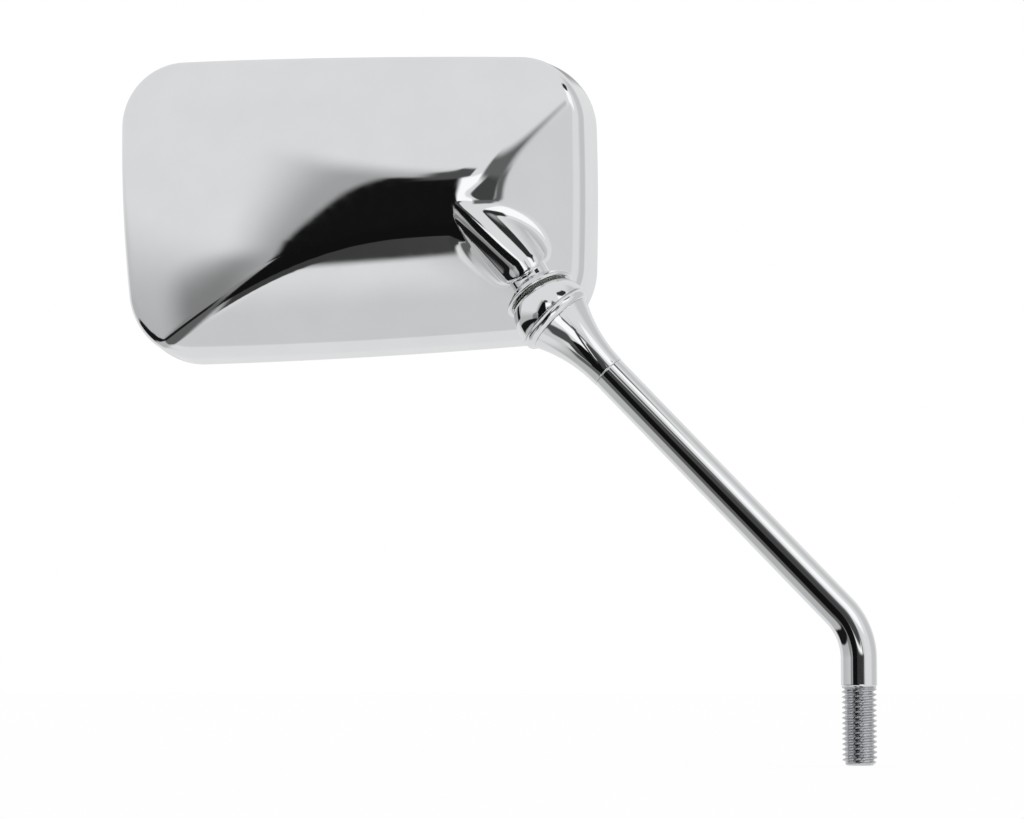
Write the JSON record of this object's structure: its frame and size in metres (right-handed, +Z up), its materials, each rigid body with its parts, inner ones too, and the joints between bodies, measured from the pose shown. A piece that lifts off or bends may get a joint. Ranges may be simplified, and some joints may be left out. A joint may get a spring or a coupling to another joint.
{
  "type": "motorcycle mirror",
  "caption": "Right-hand motorcycle mirror: a chromed, crowned rectangular head with flat glass on a friction ball joint, carried by a bent round stem with a threaded foot.",
  "frame": {"origin": "shoulder of the stem's threaded foot, on the thread's axis", "axes": "+Z up the thread's axis, -X outboard along the head, +Y the way the glass faces"},
  "size_m": [0.2394, 0.0419, 0.2198],
  "materials": {
    "chrome_shell": "polished plate",
    "chrome_fittings": "polished plate",
    "chrome_stem": "polished plate",
    "mirror": "silvered glass",
    "rubber": "matt",
    "nylon": "satin",
    "spring_steel": "oiled",
    "zinc_steel": "zinc plate"
  },
  "bodies": {
    "stem": {"stem_rod": "chrome_stem", "trumpet_sleeve": "chrome_fittings", "bead_ring": "chrome_fittings", "pivot_ball": "chrome_fittings"},
    "liner": {"friction_liner": "nylon"},
    "presser": {"presser_washer": "spring_steel"},
    "head": {"ball_cup": "chrome_fittings", "tension_bolt": "zinc_steel", "disc_spring_1": "spring_steel", "disc_spring_2": "spring_steel", "disc_spring_3": "spring_steel", "disc_spring_4": "spring_steel", "lock_nut": "zinc_steel", "head_shell": "chrome_shell", "glass_gasket": "rubber", "mirror_glass": "mirror"}
  },
  "joints": [
    {"name": "ball_tilt", "type": "hinge", "parent": "stem", "child": "liner", "pos_m": [-0.08995, 0, 0.11033], "axis": [-0.5228, 0.6907, -0.4996], "range_deg": [-32.8, 2.2]},
    {"name": "ball_rock", "type": "hinge", "parent": "liner", "child": "presser", "pos_m": [-0.08995, 0, 0.11033], "axis": [-0.664, -0.6975, -0.2695], "range_deg": [-9, 9]},
    {"name": "head_turn", "type": "hinge", "parent": "presser", "child": "head", "pos_m": [-0.08995, 0, 0.11033], "axis": [-0.5346, 0.1908, 0.8233], "continuous": true}
  ]
}
